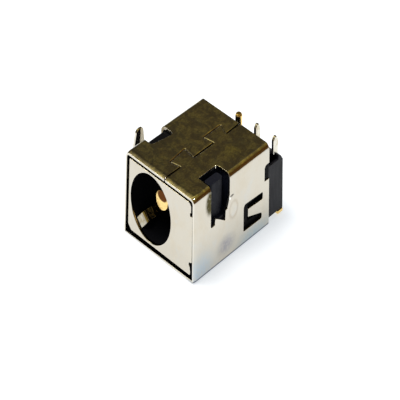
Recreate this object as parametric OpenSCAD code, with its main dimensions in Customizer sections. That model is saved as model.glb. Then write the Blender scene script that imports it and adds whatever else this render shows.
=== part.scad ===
// Shielded dc barrel jack for a board cut-out, lying with its solder tails up.
// The plug's axis is the Y axis and the mouth is at y = 0, facing -Y. Z is up.
// Millimetres. One module makes one real piece, and all of them share this frame.

/* [Assembly] */
// Piece to show

/* [Shield] */
// Outer width of the folded sheet shield
shield_w = 11.0; // [10.4:0.1:14]
// Height from the socket to the shield's outside, above it and below it
socket_wall = 0.8; // [0.7:0.05:2]
// Depth of the shield from its mouth to its open rear end
shield_d = 12.6; // [12:0.1:16]
// Thickness of the shield's sheet
sheet_t = 0.3; // [0.2:0.05:0.4]
// Outside radius of the four long folds
fold_r = 0.6; // [0.45:0.05:1]

/* [Seam] */
// Distance of the butted seam from the shield's right wall
seam_inset = 4.7; // [3.5:0.1:5.5]
// Width of the open seam line
seam_gap = 0.07; // [0.04:0.01:0.15]
// Length of a dovetail tab across the seam
tab_reach = 1.5; // [0.8:0.05:1.8]
// Width of a dovetail tab at its neck
tab_neck = 2.15; // [1.2:0.05:2.4]
// Width of a dovetail tab at its head
tab_head = 3.1; // [1.4:0.05:3.3]
// Distance from the mouth to the middle of the first dovetail tab
tab_first = 3.7; // [3:0.05:4.5]
// Distance between the two dovetail tabs
tab_pitch = 5.45; // [4.5:0.05:6]

/* [Leg notches] */
// Distance from the mouth to the front edge of a leg notch
notch_y = 2.75; // [2.4:0.05:3.5]
// Length of a leg notch along the shield
notch_len = 3.1; // [2.6:0.05:3.4]
// How far a leg notch runs into the board side of the shield
notch_in = 2.1; // [1.5:0.05:2.2]
// How far a leg notch runs down the side wall
notch_down = 2.7; // [2.2:0.05:3]
// Width of the relief slots beside a leg's root
relief_w = 0.7; // [0.4:0.05:0.8]
// How far the relief slots run below the notch
relief_down = 1.2; // [0.8:0.05:1.4]

/* [Left leg] */
// Width of the leg above its fold
leg_w = 1.4; // [1.1:0.05:1.6]
// Width of the leg at its rounded tip
leg_tip_w = 1.1; // [0.8:0.05:1.4]
// Clear distance between the leg and the side wall
leg_stand_off = 1.7; // [0.4:0.05:2]

/* [Retaining lances] */
// Distance from the rear edge of a lance window to the rear end of the shield
lance_back = 1.05; // [0.95:0.05:1.6]
// Length of a lance window
lance_len = 3.3; // [2.4:0.05:3.5]
// Height of the window's lower edge above the shield's floor
lance_z = 1.3; // [1:0.05:2]
// Height of a lance window
lance_h = 2.55; // [1.8:0.05:2.8]
// Height of the tongue at its root
tongue_h = 1.4; // [1:0.05:1.6]
// Height of the tongue at its free end
tongue_tip_h = 0.95; // [0.6:0.05:1.4]
// How far the tongue's free end is pushed in
tongue_in = 0.4; // [0.3:0.05:0.5]

/* [Front plate] */
// Setback of the plate's face from the shield's rim
plate_setback = 0.08; // [0.02:0.01:0.2]
// Open gap above the plate
plate_gap_top = 0.17; // [0.1:0.01:0.3]
// Open gap below the plate
plate_gap_bottom = 0.28; // [0.1:0.01:0.4]
// Length of the ears that are folded back inside the side walls
ear_len = 2.0; // [1:0.1:2.2]
// Height of the right ear's lower edge above the shield's floor
right_ear_low = 1.75; // [1.5:0.05:3]
// Height of the right ear's upper edge above the shield's floor
right_ear_high = 6.15; // [5:0.05:6.3]
// Height of the left ear's lower edge above the shield's floor
left_ear_low = 1.5; // [1.3:0.05:2.5]
// Height of the left ear's upper edge above the shield's floor
left_ear_high = 6.9; // [6:0.05:7]

/* [Socket] */
// Diameter of the hole in the front plate and of the socket behind it
socket_dia = 6.4; // [6:0.05:6.5]
// Distance from the socket to the shield's left side
side_wall = 0.9; // [0.8:0.05:1.4]
// Depth of the socket from the mouth
socket_depth = 9.2; // [8.5:0.1:9.2]
// Diameter of the centre pin
pin_dia = 2.0; // [1.6:0.05:2.5]
// Setback of the centre pin's tip from the mouth
pin_setback = 1.9; // [1.5:0.1:3]
// Width of a sleeve spring
spring_w = 1.05; // [0.9:0.05:1.5]
// Thickness of a sleeve spring
spring_t = 0.2; // [0.15:0.05:0.25]
// Distance from the mouth to a spring's turned-out lip
lip_y = 0.56; // [0.55:0.01:0.7]
// Distance from the mouth to the bend that presses on the plug
bend_y = 1.05; // [1:0.05:1.6]
// Distance from the mouth to the place where a spring leaves its groove
heel_y = 5.2; // [4.5:0.1:7]
// Clear distance between a spring's bend and the centre pin
bend_clear = 1.4; // [1.3:0.05:1.6]
// Length of the rounding at a spring's bend and heel
bend_soft = 0.35; // [0.2:0.05:0.4]

/* [Rear block] */
// Length of the block behind the shield
block_len = 2.5; // [2.5:0.1:3.2]
// Height of the block's board seat above the shield's floor
seat_h = 6.15; // [5.9:0.05:6.3]
// Height of the tails' tips above the block's board seat
tail_out = 1.65; // [1.4:0.05:2.5]
// Distance of the two flat tails behind the shield
tail_row = 1.7; // [1.5:0.05:1.9]
// Distance of the round centre tail behind the shield
centre_row = 1.45; // [1.3:0.05:1.7]
// Distance of the right tail's middle from the shield's right side
right_tail_in = 0.675; // [0.6:0.025:1]
// Distance of the middle tail from the shield's middle, to the right
left_tail_out = 2.025; // [1.8:0.025:2.4]
// Distance of the round centre tail from the shield's middle, to the left
centre_tail_out = 0.65; // [0.4:0.05:1]
// Depth of the recess round the foot of the right tail
recess_d = 0.47; // [0.3:0.01:0.7]
// Width of a flat tail
tail_w = 0.8; // [0.7:0.05:1]
// Thickness of a flat tail
tail_t = 0.35; // [0.2:0.05:0.4]
// Diameter of the round centre tail
tail_dia = 0.85; // [0.7:0.05:0.95]

/* [Hidden] */
$fn = 48;
e = 0.01;                                  // overlap that keeps a joined piece one solid
fit = 0.05;                                // clearance round a piece that sits in another
socket_r = socket_dia / 2;
pin_r = pin_dia / 2;
x_left = -socket_r - side_wall;            // the plug's axis is x = 0 and z = 0
x_right = x_left + shield_w;
x_mid = (x_left + x_right) / 2;
z_floor = -socket_r - socket_wall;
z_top = socket_r + socket_wall;
shield_h = z_top - z_floor;
in_left = x_left + sheet_t;
in_right = x_right - sheet_t;
seam_x = x_right - seam_inset;
lance_y = shield_d - lance_back - lance_len;
tab_ys = [tab_first, tab_first + tab_pitch];
notch_end = notch_y + notch_len;
notch_z = z_top - notch_down;
relief_z = notch_z - relief_down;
root_y = notch_y + relief_w;               // the leg's root lies between the two relief slots
root_end = notch_end - relief_w;
root_z = relief_z + 0.45;
leg_mid = (notch_y + notch_end) / 2 - 0.1;
tongue_y = lance_y + 0.36 * lance_len;     // the tongue's free end
tongue_z = z_floor + lance_z + (lance_h - tongue_h) * 0.46;
hook_y = shield_d - 0.75;                  // the housing's hooks sit in notches of the rear edge
hook_h = 1.45;
hook_z = z_floor + seat_h - fit - hook_h;  // their tops lie just under the board seat
hook_r = 0.35;
plate_y = plate_setback;
plate_left = in_left + 0.12;
plate_right = in_right - 0.3;
plate_floor = z_floor + sheet_t + plate_gap_bottom;
plate_top = z_top - sheet_t - plate_gap_top;
ear_gap = 0.06;
ear_r = 0.4;                               // outside radius of the ears' folds
right_ear = [z_floor + right_ear_low, z_floor + right_ear_high];
left_ear = [z_floor + left_ear_low, z_floor + left_ear_high];
body_y = plate_y + sheet_t + fit;
body_end = shield_d - 0.15;
body_left = in_left + fit;
body_right = in_right - fit;
body_floor = z_floor + sheet_t + fit;
body_top = z_top - sheet_t - 0.1;
block_y = shield_d + fit;
block_end = shield_d + fit + block_len;
block_left = x_left + 0.1;
block_right = x_right - 0.1;
block_floor = z_floor + 0.55;
seat_z = z_floor + seat_h;
block_soft = 0.75;                         // size of the rounding of the block's upper rear edge
pocket_y = block_y + tail_t + 3 * fit;     // the terminals' plates sit in a pocket open to the rear
post_out = 0.7;                            // distance of the post in the right notch from the wall's face
post_w = 1.05;
root_r = pin_r + 0.3;                      // the pin's moulded-in root
rivet_r = pin_r * 0.65;
terminal_t = 0.3;
shelf_z = pin_r + 0.02;                    // the centre terminal's shelf passes just over the pin
roof_z = shelf_z + terminal_t + fit;       // and the pocket's roof lies just over the shelf
tail_y = shield_d + tail_row;
centre_y = shield_d + centre_row;
tail_z = seat_z + tail_out;
centre_tail_x = x_mid - centre_tail_out;
left_tail_x = x_mid + left_tail_out;
right_tail_x = x_right - right_tail_in;
shelf_half = 0.6;                          // half the width of the centre terminal's shelf
tip_taper = 0.25;                          // how far a flat tail narrows on each side at its tip
tip_len = 0.35;
foot_in = 0.7;                             // how far the right spring's foot runs in under the block
spring_back = socket_r + 0.25;             // radius at which a spring lies in its groove
spring_peak = pin_r + bend_clear;          // radius at its bend, where it presses on the barrel
spring_core = spring_t / 2;
groove_out = spring_back + spring_t + 0.15;
left_angle = 230;                          // clock position of each spring round the plug's axis
right_angle = 0;
steel = [0.80, 0.79, 0.75];
plastic = [0.08, 0.08, 0.09];
gold = [0.83, 0.62, 0.25];
silver = [0.72, 0.72, 0.70];

// A rectangle from its low corner, with chosen corner radii: low left, low right, high right, high left
module round_rect(x0, y0, x1, y1, r) {
    difference() {
        translate([x0, y0]) square([x1 - x0, y1 - y0]);
        corner_cut(x0, y0, 1, 1, r[0]);
        corner_cut(x1, y0, -1, 1, r[1]);
        corner_cut(x1, y1, -1, -1, r[2]);
        corner_cut(x0, y1, 1, -1, r[3]);
    }
}

// What a rounded corner takes off a square one
module corner_cut(x, y, sx, sy, r) {
    if (r > 0)
        difference() {
            translate([sx > 0 ? x - 1 : x - r, sy > 0 ? y - 1 : y - r]) square([r + 1, r + 1]);
            translate([x + sx * r, y + sy * r]) circle(r);
        }
}

// Turns a flat outline in X and Z into a bar that runs from y0 to y1
module along_y(y0, y1) {
    translate([0, y1, 0]) rotate([90, 0, 0]) linear_extrude(y1 - y0) children();
}

// Turns a flat outline in Y and Z into a bar that runs from x0 to x1
module along_x(x0, x1) {
    translate([x0, 0, 0]) rotate([90, 0, 90]) linear_extrude(x1 - x0) children();
}

module block(x0, y0, z0, x1, y1, z1) {
    translate([x0, y0, z0]) cube([x1 - x0, y1 - y0, z1 - z0]);
}

// A quarter ring seen along Z, for a fold from the -Y face towards +Y
module fold_ring(x, y, sx, r, t) {
    intersection() {
        difference() {
            translate([x, y]) circle(r);
            translate([x, y]) circle(r - t);
        }
        translate([sx > 0 ? x - 2 * e : x - r - 1, y - r - 1]) square([r + 1 + 2 * e, r + 1]);
    }
}

// Swaps the shield's left wall for its right wall
module other_side() {
    translate([2 * x_mid, 0, 0]) mirror([1, 0, 0]) children();
}

/* ---- shield ---- */

module shield_tube() {
    r = fold_r;
    ri = fold_r - sheet_t;
    along_y(0, shield_d)
        difference() {
            round_rect(x_left, z_floor, x_right, z_top, [r, r, r, r]);
            round_rect(in_left, z_floor + sheet_t, in_right, z_top - sheet_t, [ri, ri, ri, ri]);
        }
}

// The trapezoid of one dovetail tab, grown by g on its free sides
module tab_outline(y, g) {
    polygon([
        [seam_x + seam_gap, y - tab_neck / 2 - g],
        [seam_x - tab_reach - g, y - tab_head / 2 - g],
        [seam_x - tab_reach - g, y + tab_head / 2 + g],
        [seam_x + seam_gap, y + tab_neck / 2 + g]
    ]);
}

// The open line where the sheet's two edges meet, straight runs and dovetails
module seam_line() {
    translate([0, 0, z_top - sheet_t - 0.2])
        linear_extrude(1)
            difference() {
                union() {
                    translate([seam_x - seam_gap / 2, -1]) square([seam_gap, shield_d + 2]);
                    for (y = tab_ys) tab_outline(y, seam_gap);
                }
                for (y = tab_ys) tab_outline(y, 0);
            }
}

// The upper part of a leg notch, through the fold between the right wall and the board side
module notch_upper() {
    translate([0, 0, notch_z])
        linear_extrude(shield_h)
            round_rect(x_right - notch_in, notch_y, x_right + 1, notch_end, [0.15, 0, 0, 0.45]);
}

// The right wall's lower notch: the leg has broken off along a slanted line
module notch_lower_broken() {
    along_x(in_right - 0.5, x_right + 0.5)
        polygon([
            [notch_y, notch_z + e], [notch_y, relief_z + 0.1], [notch_y + 0.2, relief_z], [root_y, relief_z],
            [root_y, relief_z + 0.55], [notch_end - 0.7, relief_z - 0.3],
            [notch_end - 0.62, notch_z - 0.53], [notch_end - 0.36, notch_z - 0.5], [notch_end, notch_z + e]
        ]);
}

// The left wall's lower notch: a relief slot on each side of the leg's root
module notch_lower_relief() {
    along_x(in_right - 0.5, x_right + 0.5)
        polygon([
            [notch_y, notch_z + e], [notch_y, relief_z], [root_y, relief_z], [root_y, root_z],
            [root_end, root_z], [root_end, relief_z], [notch_end, relief_z], [notch_end, notch_z + e]
        ]);
}

// The leg: out from the wall at its root, then straight up, narrowing to a rounded tip
module leg() {
    reach = leg_stand_off + sheet_t;
    half = leg_w / 2;
    tip = leg_tip_w / 2;
    r = sheet_t * 1.6;
    fold_x = x_right + reach - r;
    fold_z = root_z - sheet_t + r;
    // foot: from the wall outwards
    block(in_right + e, leg_mid - half, root_z - sheet_t, fold_x, leg_mid + half, root_z);
    // fold from the foot into the upright
    along_y(leg_mid - half, leg_mid + half)
        intersection() {
            difference() {
                translate([fold_x, fold_z]) circle(r);
                translate([fold_x, fold_z]) circle(r - sheet_t);
            }
            translate([fold_x - e, fold_z - r - 1]) square([r + 1, r + 1 + e]);
        }
    // upright with its rounded tip
    along_x(x_right + reach - sheet_t, x_right + reach)
        union() {
            polygon([
                [leg_mid - half, fold_z - e], [leg_mid + half, fold_z - e],
                [leg_mid + tip, tail_z - tip], [leg_mid - tip, tail_z - tip]
            ]);
            translate([leg_mid, tail_z - tip]) circle(tip);
        }
}

module lance_window() {
    z0 = z_floor + lance_z;
    along_x(in_right - 0.5, x_right + 0.5)
        round_rect(lance_y, z0, lance_y + lance_len, z0 + lance_h, [0.08, 0.28, 0.28, 0.35]);
}

// The tongue left standing in the window: fixed at the rear, its narrower free end pushed in
module lance_tongue() {
    y1 = lance_y + lance_len;
    drop = (tongue_h - tongue_tip_h) / 2;
    intersection() {
        translate([0, 0, tongue_z])
            linear_extrude(tongue_h)
                polygon([
                    [in_right - tongue_in, tongue_y], [in_right, y1 - 0.1], [in_right, y1 + e],
                    [x_right, y1 + e], [x_right, y1 - 0.1], [x_right - tongue_in, tongue_y]
                ]);
        along_x(in_right - 1, x_right + 1)
            polygon([
                [tongue_y - 1, tongue_z + drop], [tongue_y, tongue_z + drop], [y1 - 0.1, tongue_z],
                [y1 + 1, tongue_z], [y1 + 1, tongue_z + tongue_h], [y1 - 0.1, tongue_z + tongue_h],
                [tongue_y, tongue_z + tongue_h - drop], [tongue_y - 1, tongue_z + tongue_h - drop]
            ]);
    }
}

module hook_notch() {
    along_x(in_right - 0.5, x_right + 0.5)
        round_rect(hook_y - fit, hook_z - fit, shield_d + 1, hook_z + hook_h + fit, [0, 0, 0, hook_r + fit]);
}

module shield() {
    color(steel) {
        difference() {
            shield_tube();
            seam_line();
            notch_upper();
            notch_lower_broken();
            lance_window();
            hook_notch();
            other_side() {
                notch_upper();
                notch_lower_relief();
                lance_window();
                hook_notch();
            }
        }
        lance_tongue();
        other_side() {
            lance_tongue();
            leg();
        }
    }
}

/* ---- front plate ---- */

module plate_outline() {
    n1 = right_ear[1] + 0.1;
    n2 = right_ear[0] - 0.15;
    difference() {
        polygon([
            [plate_left + 0.2, plate_top], [plate_left, plate_top - 0.65], [plate_left, plate_floor + 0.6],
            [plate_left + 0.6, plate_floor], [plate_right, plate_floor], [plate_right, plate_top],
        ]);
        corner_cut(plate_right, plate_top, -1, -1, 0.5);
        corner_cut(plate_right, plate_floor, -1, 1, 0.25);
        translate([plate_right + 0.02, n1]) circle(0.24);
        translate([plate_right, n2]) square([0.5, 0.4], center = true);
        polygon([
            [plate_right + 1, n2], [plate_right - 0.2, n2],
            [plate_right - e, n2 - 0.7], [plate_right + 1, n2 - 0.7]
        ]);
        circle(socket_r);
    }
}

// One ear: its fold, and the flat run back along the inside of a wall
module ear(wall, sx, span) {
    translate([0, 0, span[0]])
        linear_extrude(span[1] - span[0]) {
            fold_ring(wall - sx * ear_r, plate_y + ear_r, sx, ear_r, sheet_t);
            translate([sx > 0 ? wall - sheet_t : wall, plate_y + ear_r - e])
                square([sheet_t, ear_len - ear_r + e]);
        }
}

module front_plate() {
    right_fold = in_right - ear_gap - ear_r;
    left_fold = in_left + ear_gap + ear_r;
    color(steel) {
        difference() {
            along_y(plate_y, plate_y + sheet_t) plate_outline();
            // the flat plate stops where a fold starts
            block(x_left, plate_y - 1, left_ear[0], left_fold - e, plate_y + 1, left_ear[1]);
            block(right_fold + e, plate_y - 1, right_ear[0], x_right, plate_y + 1, right_ear[1]);
        }
        ear(in_right - ear_gap, 1, right_ear);
        ear(in_left + ear_gap, -1, left_ear);
    }
}

/* ---- housing ---- */

module housing_body() {
    difference() {
        union() {
            along_y(body_y, body_end)
                round_rect(body_left, body_floor, body_right, body_top, [0.35, 0.35, 0.35, 0.35]);
            // block behind the shield, its upper rear edge rounded
            along_x(block_left, block_right)
                polygon([
                    [block_y, block_floor], [block_end, block_floor], [block_end, seat_z - block_soft],
                    [block_end - 0.45 * block_soft, seat_z - 0.4 * block_soft],
                    [block_end - block_soft, seat_z - 0.12 * block_soft],
                    [block_end - 1.5 * block_soft, seat_z], [block_y, seat_z]
                ]);
            block(block_left + 0.6, body_end - 1, block_floor, block_right - 0.6, block_y + e, seat_z - 0.4);
            hook();
            other_side() hook();
        }
        leg_pocket();
        ear_slots();
        lance_pocket();
        other_side() lance_pocket();
    }
}

// A hook reaches forward through the notch in the wall's rear edge
module hook() {
    along_x(body_right - 0.4, block_right)
        round_rect(hook_y, hook_z, block_y + 0.3, hook_z + hook_h, [0, 0, 0, hook_r]);
}

// Room round the post that stands in the right leg notch
module leg_pocket() {
    difference() {
        block(x_right - notch_in - 0.15, notch_y - 0.2, relief_z + 0.15,
              x_right + 1, notch_end + 0.2, z_top + 1);
        translate([0, 0, relief_z - 1])
            linear_extrude(body_top - relief_z + 1)
                round_rect(x_right - post_out - post_w, notch_y + 0.55, x_right - post_out, notch_end - 0.4,
                           [0.3, 0.35, 0.35, 0.3]);
    }
}

module ear_slots() {
    reach = plate_y + ear_len + 0.15;
    deep = ear_gap + sheet_t + fit;            // how far the slots go in from the sheet's inner faces
    fold = ear_gap + ear_r;
    right_low = right_ear[0] - fit;
    right_high = right_ear[1] + fit;
    left_low = left_ear[0] - fit;
    left_high = left_ear[1] + fit;
    block(in_right - deep, body_y - 1, right_low, x_right, reach, right_high);
    block(x_left, body_y - 1, left_low, in_left + deep, reach, left_high);
    // the folds' inner corners
    block(in_right - fold, body_y - 1, right_low, x_right, body_y + 0.12, right_high);
    block(x_left, body_y - 1, left_low, in_left + fold, body_y + 0.12, left_high);
}

module lance_pocket() {
    block(in_right - tongue_in - fit, tongue_y - 0.2, tongue_z - 0.1,
          x_right, lance_y + lance_len, tongue_z + tongue_h + 0.1);
}

// Room for one spring along the wall of the socket
module spring_groove(a) {
    half = spring_w / 2 + fit;
    rotate([0, -a, 0]) {
        block(socket_r - 0.6, body_y - 1, -half, groove_out, socket_depth - 0.8, half);
        block(spring_back - fit, body_y, -half, groove_out, pocket_y + e, half);
    }
}

// The slot that a flat tail stands in
module tail_slot(x, y0, z0) {
    half = tail_t / 2 + fit;
    block(x - half, y0, z0, x + half, tail_y + tail_w / 2 + fit, seat_z + 1);
}

// The pocket for the terminals' plates, open to the rear, and the slots for their tails
module terminal_pocket() {
    block(block_left + 0.8, pocket_y, block_floor + 0.45, block_right - 1.2, block_end + 1, roof_z);
    // round hole and flat slots in the roof
    translate([centre_tail_x, centre_y, 0]) cylinder(r = tail_dia / 2 + fit, h = seat_h);
    tail_slot(left_tail_x, pocket_y, 0);
    // the right spring's plate lies further forward and its tail runs in a slot of the side wall
    x1 = right_tail_x + tail_t / 2 + fit;
    block(spring_back - 0.3, block_y - e, -spring_w / 2 - fit, x1, pocket_y + e, spring_w / 2 + fit);
    tail_slot(right_tail_x, block_y - e, block_floor - 1);
    // recess in the block's corner round that tail
    block(right_tail_x - tail_t / 2 - fit, block_y, seat_z - recess_d,
          x_right + 1, tail_y, seat_z + 1);
}

module housing() {
    color(plastic)
        difference() {
            housing_body();
            // socket with a small lead-in, and the bore that grips the centre pin
            along_y(body_y - 1, socket_depth) circle(socket_r);
            along_y(socket_depth - 1, pocket_y + 1) circle(root_r);
            spring_groove(left_angle);
            spring_groove(right_angle);
            terminal_pocket();
        }
}

/* ---- contacts ---- */

// Turned pin: rounded tip, plain free length, thicker root moulded into the housing,
// and a rivet end through its terminal
module centre_pin() {
    soft = pin_r * 0.15;
    neck = pin_setback + soft;
    head = 0.25;
    color(gold)
        rotate([-90, 0, 0])
            rotate_extrude($fn = 48)
                intersection() {
                    union() {
                        translate([0, neck]) square([pin_r, socket_depth + e - neck]);
                        translate([0, pin_setback]) square([pin_r - soft, soft + e]);
                        translate([pin_r - soft, neck]) circle(soft);
                        translate([0, socket_depth]) square([root_r, pocket_y - socket_depth]);
                        translate([0, pocket_y - e]) square([rivet_r, terminal_t + head]);
                        translate([0, pocket_y + terminal_t]) square([pin_r * 0.9, head]);
                    }
                    square([root_r, block_end]);
                }
}

// Plate riveted to the pin, a shelf to the rear, and the round tail
module centre_terminal() {
    w = 2 * pin_r + 0.7;
    tail_r = tail_dia / 2;
    tip = 0.15;
    rise = tail_z - shelf_z - tip;
    color(gold) {
        difference() {
            block(-w / 2, pocket_y, -w / 2, w / 2, pocket_y + terminal_t, shelf_z + terminal_t);
            along_y(pocket_y - 1, pocket_y + 1) circle(rivet_r + e);
        }
        block(centre_tail_x - shelf_half, pocket_y, shelf_z,
              centre_tail_x + shelf_half, centre_y + tail_dia / 2, shelf_z + terminal_t);
        translate([centre_tail_x, centre_y, shelf_z]) {
            cylinder(r = tail_r, h = rise);
            translate([0, 0, rise]) cylinder(r1 = tail_r, r2 = tail_r - tip, h = tip);
        }
    }
}

// Points of a soft bend at b, on the way from a to c
function soft_bend(a, b, c) =
    let (p = b + bend_soft * (a - b) / norm(a - b), q = b + bend_soft * (c - b) / norm(c - b))
    [for (t = [0:0.25:1]) (1 - t) * (1 - t) * p + 2 * t * (1 - t) * b + t * t * q];

// The unit normal on the left of the way from a to b
function left_of(a, b) = [a.y - b.y, b.x - a.x] / norm(b - a);

// The points of a path moved sideways by d
function beside(p, d) =
    let (n = len(p) - 1)
    [for (i = [0:n])
        let (u = left_of(p[max(i - 1, 0)], p[max(i, 1)]), v = left_of(p[min(i, n - 1)], p[min(i + 1, n)]))
        p[i] + d * (u + v) / (1 + u * v)];

// The side view of a spring, radius against depth: rear run, heel, ramp, bend and front lip
module spring_outline(rear) {
    b = spring_back + spring_core;
    start = [b, rear];
    heel = [b, heel_y];
    bend = [spring_peak + spring_core - 0.05, bend_y];
    lip = [socket_r + spring_core - 0.05, lip_y];
    path = concat([start], soft_bend(start, heel, bend), soft_bend(heel, bend, lip), [lip]);
    far = beside(path, -spring_core);
    polygon(concat(beside(path, spring_core), [for (i = [len(far) - 1:-1:0]) far[i]]));
}

module spring_leaf(a, rear) {
    rotate([0, -a, 0])
        translate([0, 0, -spring_w / 2]) linear_extrude(spring_w) spring_outline(rear);
}

// A flat tail with a narrowed tip, from z0 up
module flat_tail(x, y0, z0) {
    y1 = tail_y + tail_w / 2;
    ya = tail_y - tail_w / 2;
    along_x(x - tail_t / 2, x + tail_t / 2)
        polygon([
            [y0, z0], [y1, z0], [y1, tail_z - tip_len], [y1 - tip_taper, tail_z], [ya + tip_taper, tail_z],
            [ya, tail_z - tip_len], [ya, roof_z - 0.2], [y0, roof_z - 0.2]
        ]);
}

// Spring at the lower left of the socket, with its cross plate and the middle tail
module left_spring() {
    y1 = pocket_y + tail_t;
    z_in = block_floor + 0.5;
    cx = spring_back * cos(left_angle);
    color(silver) {
        spring_leaf(left_angle, pocket_y + e);
        block(cx - 0.75, pocket_y, z_in, left_tail_x + tail_t / 2, y1, -pin_r - 0.6);
        flat_tail(left_tail_x, pocket_y, z_in);
    }
}

// Spring at the right of the socket, with its plate, the tail by the side wall and a foot under the block
module right_spring() {
    y0 = block_y + fit;
    h = spring_w / 2;
    foot_z = block_floor - tail_t;
    x1 = right_tail_x + tail_t / 2;
    color(silver) {
        spring_leaf(right_angle, y0 + e);
        block(spring_back, y0, -h, x1, y0 + tail_t, h);
        flat_tail(right_tail_x, y0, foot_z);
        block(right_tail_x - foot_in, tail_y - tail_w / 2, foot_z,
              x1, block_end + 0.06, foot_z + tail_t - fit);
    }
}

shield();
front_plate();
housing();
centre_pin();
centre_terminal();
left_spring();
right_spring();
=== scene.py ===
import math

import bmesh
import bpy
import numpy as np
from mathutils import Matrix, Vector
from mathutils.geometry import delaunay_2d_cdt


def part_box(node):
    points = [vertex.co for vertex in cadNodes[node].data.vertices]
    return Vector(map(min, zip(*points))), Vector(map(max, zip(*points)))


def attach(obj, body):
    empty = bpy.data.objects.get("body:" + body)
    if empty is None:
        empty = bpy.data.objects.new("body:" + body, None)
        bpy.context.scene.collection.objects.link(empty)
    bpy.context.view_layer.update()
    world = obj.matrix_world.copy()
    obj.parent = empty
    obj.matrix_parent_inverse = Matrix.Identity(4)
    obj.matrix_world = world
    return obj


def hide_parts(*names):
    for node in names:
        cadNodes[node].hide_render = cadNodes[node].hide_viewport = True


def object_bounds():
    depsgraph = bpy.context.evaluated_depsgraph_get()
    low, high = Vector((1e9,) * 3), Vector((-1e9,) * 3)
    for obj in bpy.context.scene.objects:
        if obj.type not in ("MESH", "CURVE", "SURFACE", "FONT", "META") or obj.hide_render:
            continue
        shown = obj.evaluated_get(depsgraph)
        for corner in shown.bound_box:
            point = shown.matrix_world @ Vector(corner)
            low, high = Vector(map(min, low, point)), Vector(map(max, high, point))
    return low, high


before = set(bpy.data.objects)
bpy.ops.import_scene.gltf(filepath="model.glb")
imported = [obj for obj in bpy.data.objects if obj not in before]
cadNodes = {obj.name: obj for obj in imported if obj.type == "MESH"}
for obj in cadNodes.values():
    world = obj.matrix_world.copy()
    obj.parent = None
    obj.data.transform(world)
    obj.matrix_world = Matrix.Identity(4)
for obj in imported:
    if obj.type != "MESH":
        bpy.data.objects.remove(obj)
cadLow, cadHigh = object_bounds()
mm = 0.001
shieldLow, shieldHigh = (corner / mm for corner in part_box("shield"))
plateLow, plateHigh = (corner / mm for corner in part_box("front_plate"))
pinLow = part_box("centre_pin")[0] / mm
terminalLow, terminalHigh = (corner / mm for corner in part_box("centre_terminal"))
print("frame loaded:", len(cadNodes), "nodes")

# The shield without its leg, in millimetres. The plug's axis is x = 0, z = 0. The folds along
# the floor are sharper than the ones along the top.
shieldWide = 11.0
sheet = {"right": shieldHigh.x, "left": shieldHigh.x - shieldWide, "floor": shieldLow.z,
         "top": shieldHigh.z, "rear": shieldHigh.y, "thick": 0.3, "fold": 0.6, "foldLow": 0.2}
boxCentre = Vector((sheet["right"] - shieldWide / 2, sheet["rear"] / 2, 0)) * mm

viewSettings = {
    "azimuth": 42.85,
    "elevation": 32.53,
    "roll": 1.55,
    "distance": 313.6 * mm,
    "lens": 244.5,
    "shift": (0.0071, -0.0322),
    "leanUp": 43.83,  # degrees by which the picture's upright leans out of its plane
    "leanTurn": 0.19,
    "leanSide": 4.96,
}


# The view is squeezed sideways, so the camera's axes lean:
# up = u + b tan(leanUp) + r tan(leanTurn), right = r + b tan(leanSide), back = b
def makeCamera(s):
    a, e, roll = (math.radians(s[k]) for k in ("azimuth", "elevation", "roll"))
    back = Vector((math.sin(a) * math.cos(e), -math.cos(a) * math.cos(e), math.sin(e)))
    right = Vector((math.cos(a), math.sin(a), 0))
    up = back.cross(right)
    right, up = (
        right * math.cos(roll) + up * math.sin(roll),
        up * math.cos(roll) - right * math.sin(roll),
    )
    leanUp, leanTurn, leanSide = (math.tan(math.radians(s[k])) for k in ("leanUp", "leanTurn", "leanSide"))
    axisUp = (up + back * leanUp + right * leanTurn).normalized()
    axisRight = (right + back * leanSide).normalized()
    place = boxCentre + back * s["distance"]
    rigMatrix = Matrix.Identity(4)
    for column, axis in enumerate((axisRight, axisUp, back, place)):
        for row in range(3):
            rigMatrix[row][column] = axis[row]
    rig = bpy.data.objects.new("cameraRig", None)
    camera = bpy.data.objects.new("camera", bpy.data.cameras.new("camera"))
    for obj in (rig, camera):
        bpy.context.scene.collection.objects.link(obj)
    camera.parent = rig
    camera.matrix_parent_inverse = rigMatrix
    camera.data.lens = s["lens"]
    camera.data.shift_x, camera.data.shift_y = s["shift"]
    camera.data.clip_start, camera.data.clip_end = 0.01, 10
    bpy.context.scene.camera = camera


makeCamera(viewSettings)
print("camera placed")


def addNode(tree, kind, inputs=(), **settings):
    made = tree.nodes.new("ShaderNode" + kind)
    for name, value in settings.items():
        setattr(made, name, value)
    for socket, value in dict(inputs).items():
        feed(tree, made, socket, value)
    return made


# a value is either a number or colour for the socket, or another node's output
def feed(tree, made, socket, value):
    if isinstance(value, bpy.types.NodeSocket):
        tree.links.new(value, made.inputs[socket])
    elif isinstance(value, tuple) and len(value) == 3 and made.inputs[socket].type == "RGBA":
        made.inputs[socket].default_value = (*value, 1)
    else:
        made.inputs[socket].default_value = value


def calc(tree, operation, *values, clamp=False):
    inputs = {i: v for i, v in enumerate(values)}
    return addNode(tree, "Math", inputs, operation=operation, use_clamp=clamp).outputs[0]


# a rise from start at low to the value named to at high, eased at both ends
def rise(tree, value, low, high, to=1.0, start=0.0):
    inputs = {"Value": value, "From Min": low, "From Max": high, "To Min": start, "To Max": to}
    return addNode(tree, "MapRange", inputs, interpolation_type="SMOOTHSTEP").outputs[0]


def blendColour(tree, share, first, second, how="MIX"):
    inputs = {0: share, 6: first, 7: second}
    return addNode(tree, "Mix", inputs, data_type="RGBA", blend_type=how, clamp_factor=True).outputs[2]


# Object coordinates in millimetres, stretched by the three factors
def coordinates(tree, stretch=(1, 1, 1)):
    source = addNode(tree, "TexCoord").outputs["Object"]
    scale = tuple(1000 * s for s in stretch)
    return addNode(tree, "Mapping", {"Vector": source, "Scale": scale}).outputs[0]


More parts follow.
